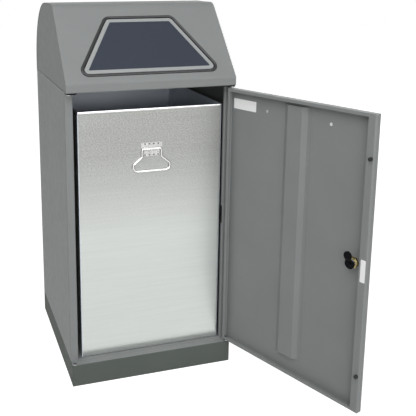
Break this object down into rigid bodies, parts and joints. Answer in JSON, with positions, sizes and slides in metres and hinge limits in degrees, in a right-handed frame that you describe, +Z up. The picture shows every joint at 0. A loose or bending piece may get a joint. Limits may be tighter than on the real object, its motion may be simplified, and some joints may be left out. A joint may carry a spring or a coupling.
{
  "type": "recycling bin",
  "caption": "Free-standing sheet-steel recycling bin with a sloped hood, a self-closing trapezoid flap, a lockable door and a pull-out inner container with a bail handle.",
  "frame": {"origin": "on the floor, under the middle of the cabinet's footprint", "axes": "+X to the right seen from the front, +Y from the door to the back, +Z up"},
  "size_m": [0.6092, 0.8783, 1],
  "materials": {
    "grey_paint": "satin powder coat",
    "dark_paint": "satin powder coat",
    "slate_film": "satin film",
    "zinc": "zinc-coated",
    "bush_steel": "turned",
    "chrome": "plated",
    "brass": "turned",
    "black_steel": "black, satin",
    "rubber": "matt"
  },
  "bodies": {
    "cabinet": {"plinth": "dark_paint", "floor_panel": "zinc", "side_wall_left": "grey_paint", "side_wall_right": "grey_paint", "back_panel": "grey_paint", "pivot_plates": "zinc", "pivot_bushes": "bush_steel", "hood_skin": "grey_paint", "hood_side_left": "grey_paint", "hood_side_right": "grey_paint", "hood_screws": "zinc", "opening_edging": "rubber", "flap_brackets": "zinc", "flap_rod": "bush_steel", "rod_rings": "bush_steel"},
    "flap": {"flap_panel": "grey_paint", "flap_insert": "slate_film", "flap_ears": "zinc", "flap_counterweight": "zinc"},
    "door": {"door_shell": "grey_paint", "door_stiffener": "grey_paint", "door_rivets": "zinc", "door_buffers": "rubber", "lower_pivot_pin": "bush_steel", "upper_pivot_pin": "bush_steel", "lock_barrel": "chrome", "lock_nut": "brass"},
    "lock": {"lock_core": "chrome", "lock_cam": "black_steel", "cam_screw": "zinc"},
    "container": {"container_shell": "zinc", "handle_plate": "zinc", "handle_rivets": "zinc"},
    "bail": {"handle_bail": "chrome"}
  },
  "joints": [
    {"name": "door_hinge", "type": "hinge", "parent": "cabinet", "child": "door", "pos_m": [0.2175, -0.2285, 0.427], "axis": [0, 0, 1], "range_deg": [-111.5, 68]},
    {"name": "lock_turn", "type": "hinge", "parent": "door", "child": "lock", "pos_m": [0.36905, -0.59549, 0.43], "axis": [-0.9304, -0.3665, 0], "range_deg": [-90, 0]},
    {"name": "flap_hinge", "type": "hinge", "parent": "cabinet", "child": "flap", "pos_m": [0, -0.08984, 0.95253], "axis": [1, 0, 0], "range_deg": [0, 60]},
    {"name": "container_slide", "type": "slide", "parent": "cabinet", "child": "container", "axis": [0, -1, 0], "range_m": [0, 0.47]},
    {"name": "bail_hinge", "type": "hinge", "parent": "container", "child": "bail", "pos_m": [0.0035, -0.2073, 0.6315], "axis": [-1, 0, 0], "range_deg": [0, 170]}
  ]
}
